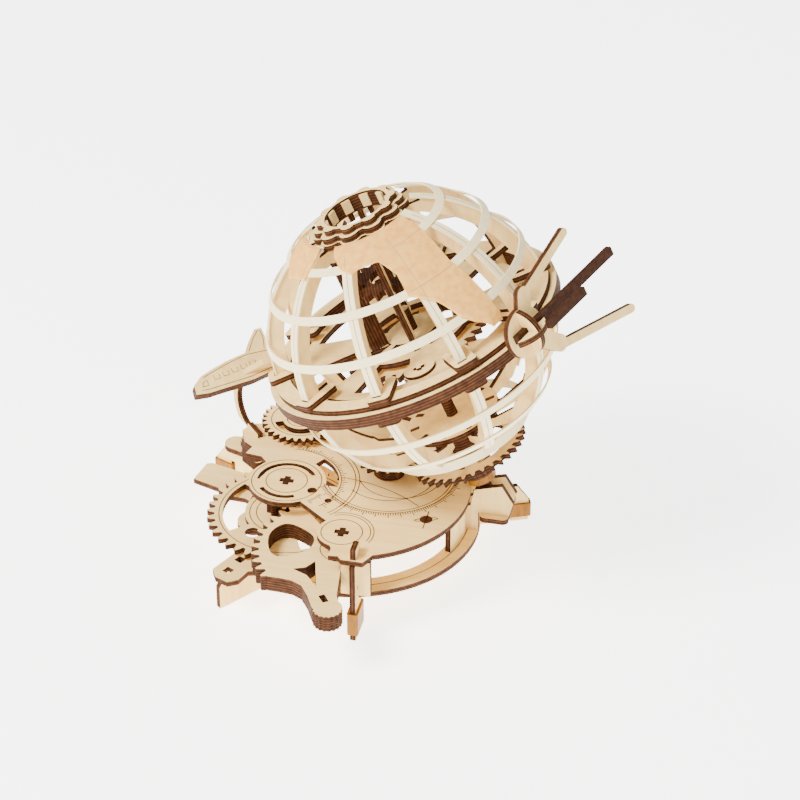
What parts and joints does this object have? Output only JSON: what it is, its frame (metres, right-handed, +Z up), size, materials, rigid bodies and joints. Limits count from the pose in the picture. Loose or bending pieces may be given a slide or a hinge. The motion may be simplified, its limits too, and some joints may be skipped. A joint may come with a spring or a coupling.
{
  "type": "orrery",
  "caption": "Hand-cranked mechanical globe of laser-cut plywood: a lever and gear train spin a ribbed tilted globe with a satellite above a round deck.",
  "frame": {"origin": "centre of the bounding box in plan, on the floor under the feet", "axes": "+Z up; the globe's north pole leans towards -X; the lever's grip points towards -Y, the front"},
  "size_m": [0.2294, 0.1874, 0.2129],
  "materials": {
    "plywood": "matte laser-cut birch plywood with burnt edges",
    "burnt_plywood": "charred laser-cut edge",
    "white_card": "matte pale veneer card",
    "tan_card": "matte tan card",
    "amber_rubber": "translucent elastic"
  },
  "bodies": {
    "base": {"base_ring": "plywood", "deck_plate": "plywood", "spacer_posts": "plywood", "foot_front": "plywood", "foot_left": "plywood", "foot_rear": "plywood", "foot_right": "plywood", "rubber_bands": "amber_rubber", "stand_cheeks": "plywood", "stand_board": "plywood", "globe_axle": "plywood", "axle_collar": "burnt_plywood", "collar_band": "amber_rubber", "sun_gear": "plywood", "drive_axle": "plywood", "lever_axle": "plywood", "axle_spacers": "plywood", "shuttle_bracket": "burnt_plywood", "shuttle_arm": "plywood", "shuttle_body": "plywood", "shuttle_wing": "plywood"},
    "lever": {"lever_top": "plywood", "lever_core": "plywood", "lever_bottom": "plywood"},
    "sector_pinion": {"sector_pinion": "plywood"},
    "drive_gear": {"drive_gear": "plywood"},
    "main_shaft": {"main_shaft": "plywood", "main_pinion": "plywood", "crown_pinion": "plywood"},
    "counter_gear": {"counter_axle": "plywood", "counter_pinion": "plywood", "counter_gear": "plywood"},
    "planet": {"planet_gear": "plywood", "planet_axle": "plywood"},
    "globe": {"equator_top_ring": "plywood", "equator_ring": "plywood", "equator_plate": "plywood", "rib_pair_1": "plywood", "rib_pair_2": "plywood", "rib_pair_3": "plywood", "rib_pair_4": "plywood", "rib_pair_5": "plywood", "meridian_strips": "white_card", "parallels_north": "white_card", "parallels_south": "white_card", "upper_clips": "plywood", "lower_clips": "plywood", "cap_upper": "plywood", "cap_lower": "plywood", "cap_base": "plywood", "cap_frame": "plywood", "south_collar": "plywood", "south_gear": "plywood", "land_panels": "tan_card", "satellite_plate": "plywood", "satellite_level_disc": "plywood", "satellite_cross_disc": "plywood", "satellite_blades": "burnt_plywood"}
  },
  "joints": [
    {"name": "globe_spin", "type": "hinge", "parent": "base", "child": "globe", "pos_m": [0.00717, 0.01675, 0.1393], "axis": [-0.3987, 0, 0.9171], "continuous": true},
    {"name": "main_spin", "type": "hinge", "parent": "base", "child": "main_shaft", "pos_m": [-0.00453, 0.01675, 0.04], "axis": [0, 0, 1], "continuous": true},
    {"name": "drive_spin", "type": "hinge", "parent": "base", "child": "drive_gear", "pos_m": [-0.05443, -0.00105, 0.027], "axis": [0, 0, 1], "continuous": true},
    {"name": "counter_spin", "type": "hinge", "parent": "base", "child": "counter_gear", "pos_m": [-0.05893, 0.04675, 0.04], "axis": [0, 0, 1], "continuous": true},
    {"name": "planet_spin", "type": "hinge", "parent": "globe", "child": "planet", "pos_m": [0.02409, -0.02864, 0.13957], "axis": [-0.3987, 0, 0.9171], "continuous": true},
    {"name": "lever_swing", "type": "hinge", "parent": "base", "child": "lever", "pos_m": [-0.01643, -0.03785, 0.034], "axis": [0, 0, 1], "range_deg": [-70, 0]},
    {"name": "sector_pinion_spin", "type": "hinge", "parent": "base", "child": "sector_pinion", "pos_m": [-0.05443, -0.00105, 0.034], "axis": [0, 0, 1], "range_deg": [0, 343]}
  ],
  "couplings": [
    {"joint": "main_spin", "follows": "globe_spin", "ratio": -1.9444},
    {"joint": "drive_spin", "follows": "globe_spin", "ratio": 0.63194},
    {"joint": "counter_spin", "follows": "globe_spin", "ratio": -3.1597},
    {"joint": "planet_spin", "follows": "globe_spin", "ratio": 3},
    {"joint": "sector_pinion_spin", "follows": "lever_swing", "ratio": -4.8889}
  ]
}
